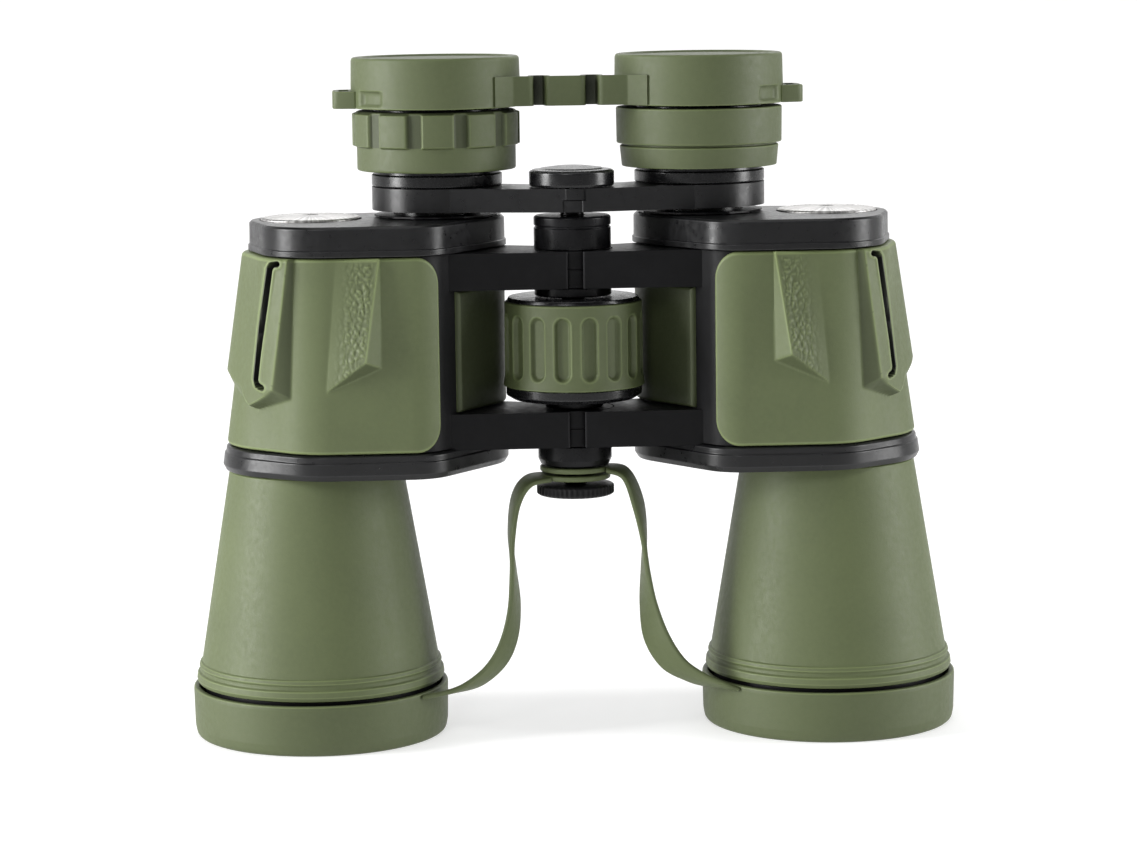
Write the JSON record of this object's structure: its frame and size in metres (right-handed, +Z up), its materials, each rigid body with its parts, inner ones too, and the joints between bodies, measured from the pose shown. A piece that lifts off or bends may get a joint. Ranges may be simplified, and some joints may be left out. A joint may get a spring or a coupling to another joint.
{
  "type": "binoculars",
  "caption": "Centre-focus porro prism binoculars with rubber armour, folding centre hinge, focus wheel, dioptre ring, rainguard, objective caps on straps and a tripod socket.",
  "frame": {"origin": "middle of the footprint, on the plane that the objective caps stand on", "axes": "+X across the two barrels, +Y away from the side with the open focus wheel, +Z up towards the eyepieces"},
  "size_m": [0.1982, 0.0658, 0.1736],
  "materials": {
    "green_rubber": "matte olive moulded rubber",
    "black_rubber": "matte black rubber",
    "black_plastic": "satin black moulding",
    "black_metal": "satin black",
    "bright_metal": "spun bright",
    "spring_steel": "plain spring steel",
    "coated_glass": "coated lens glass",
    "clear_glass": "polished optical glass"
  },
  "bodies": {
    "left_half": {"left_prism_housing": "black_plastic", "left_body_armour": "green_rubber", "left_cover_plate": "black_plastic", "left_cover_disc": "bright_metal", "left_flange": "black_plastic", "left_objective_tube": "black_plastic", "left_barrel_sleeve": "green_rubber", "left_objective_crown": "coated_glass", "left_objective_flint": "clear_glass", "left_lens_retainer": "black_metal", "left_upper_prism": "clear_glass", "left_lower_prism": "clear_glass", "left_prism_shelf": "black_metal", "left_prism_clip": "spring_steel", "left_eyepiece_guide": "black_metal", "left_cap_strap": "green_rubber", "hinge_top_tube": "black_metal", "hinge_pin": "black_metal"},
    "right_half": {"right_prism_housing": "black_plastic", "right_body_armour": "green_rubber", "right_cover_plate": "black_plastic", "right_cover_disc": "bright_metal", "right_flange": "black_plastic", "right_objective_tube": "black_plastic", "right_barrel_sleeve": "green_rubber", "right_objective_crown": "coated_glass", "right_objective_flint": "clear_glass", "right_lens_retainer": "black_metal", "right_upper_prism": "clear_glass", "right_lower_prism": "clear_glass", "right_prism_shelf": "black_metal", "right_prism_clip": "spring_steel", "right_eyepiece_guide": "black_metal", "right_cap_strap": "green_rubber"},
    "focus_wheel": {"focus_wheel_hub": "black_plastic", "focus_wheel_grip": "green_rubber"},
    "left_bridge": {"left_bridge_arm": "black_plastic", "left_eyepiece_tube": "black_plastic", "left_field_lens": "clear_glass", "left_eyecup": "black_rubber", "focusing_screw": "black_metal", "bridge_cap": "black_plastic"},
    "right_bridge": {"right_bridge_arm": "black_plastic", "right_eyepiece_tube": "black_plastic", "right_field_lens": "clear_glass", "right_eyecup": "black_rubber", "right_eyepiece_ring": "green_rubber", "right_lens_cell": "black_metal", "right_eye_lens": "clear_glass"},
    "dioptre": {"dioptre_ring": "green_rubber"},
    "left_ocular": {"left_lens_cell": "black_metal", "left_eye_lens": "clear_glass"},
    "left_rainguard": {"left_rainguard_cup": "green_rubber", "rainguard_link": "green_rubber"},
    "right_rainguard": {"right_rainguard_cup": "green_rubber"},
    "left_cap": {"left_objective_cap": "green_rubber"},
    "right_cap": {"right_objective_cap": "green_rubber"},
    "tripod_thread": {"tripod_stud": "black_metal"},
    "tripod_knob": {"tripod_cap": "black_plastic"}
  },
  "joints": [
    {"name": "fold", "type": "hinge", "parent": "left_half", "child": "right_half", "pos_m": [0, -0.0087, 0.1], "axis": [0, 0, 1], "range_deg": [-17, 40]},
    {"name": "focus_travel", "type": "slide", "parent": "left_half", "child": "left_bridge", "axis": [0, 0, 1], "range_m": [-0.00075, 0.006]},
    {"name": "focus_turn", "type": "hinge", "parent": "left_half", "child": "focus_wheel", "pos_m": [0, -0.0087, 0.1], "axis": [0, 0, 1], "range_deg": [-45.5, 360.5]},
    {"name": "bridge_fold", "type": "hinge", "parent": "left_bridge", "child": "right_bridge", "pos_m": [0, -0.0087, 0.1], "axis": [0, 0, 1], "range_deg": [-17.1, 40.1]},
    {"name": "dioptre_travel", "type": "slide", "parent": "left_bridge", "child": "left_ocular", "axis": [0, 0, 1], "range_m": [-0.001, 0.001]},
    {"name": "dioptre_turn", "type": "hinge", "parent": "left_bridge", "child": "dioptre", "pos_m": [-0.03375, 0.0043, 0.151], "axis": [0, 0, 1], "range_deg": [-50.1, 50.1]},
    {"name": "rainguard_lift", "type": "slide", "parent": "left_bridge", "child": "left_rainguard", "axis": [0, 0, 1], "range_m": [0, 0.025]},
    {"name": "rainguard_fold", "type": "hinge", "parent": "left_rainguard", "child": "right_rainguard", "pos_m": [0, -0.0087, 0.1], "axis": [0, 0, 1], "range_deg": [-17.1, 40.1], "deforming": ["rainguard_link"]},
    {"name": "left_cap_pull", "type": "slide", "parent": "left_half", "child": "left_cap", "axis": [0, 0, -1], "range_m": [0, 0.02], "deforming": ["left_cap_strap"]},
    {"name": "right_cap_pull", "type": "slide", "parent": "right_half", "child": "right_cap", "axis": [0, 0, -1], "range_m": [0, 0.02], "deforming": ["right_cap_strap"]},
    {"name": "tripod_out", "type": "slide", "parent": "left_half", "child": "tripod_thread", "axis": [0, 0, -1], "range_m": [0, 0.00508]},
    {"name": "tripod_unscrew", "type": "hinge", "parent": "tripod_thread", "child": "tripod_knob", "pos_m": [0, -0.0087, 0.064], "axis": [0, 0, -1], "range_deg": [-1, 1441]}
  ],
  "couplings": [
    {"joint": "focus_turn", "follows": "focus_travel", "rad_per_m": 1047.2},
    {"joint": "bridge_fold", "follows": "fold", "ratio": 1},
    {"joint": "rainguard_fold", "follows": "fold", "ratio": 1},
    {"joint": "dioptre_turn", "follows": "dioptre_travel", "rad_per_m": 872.66},
    {"joint": "tripod_unscrew", "follows": "tripod_out", "rad_per_m": 4947.4}
  ]
}
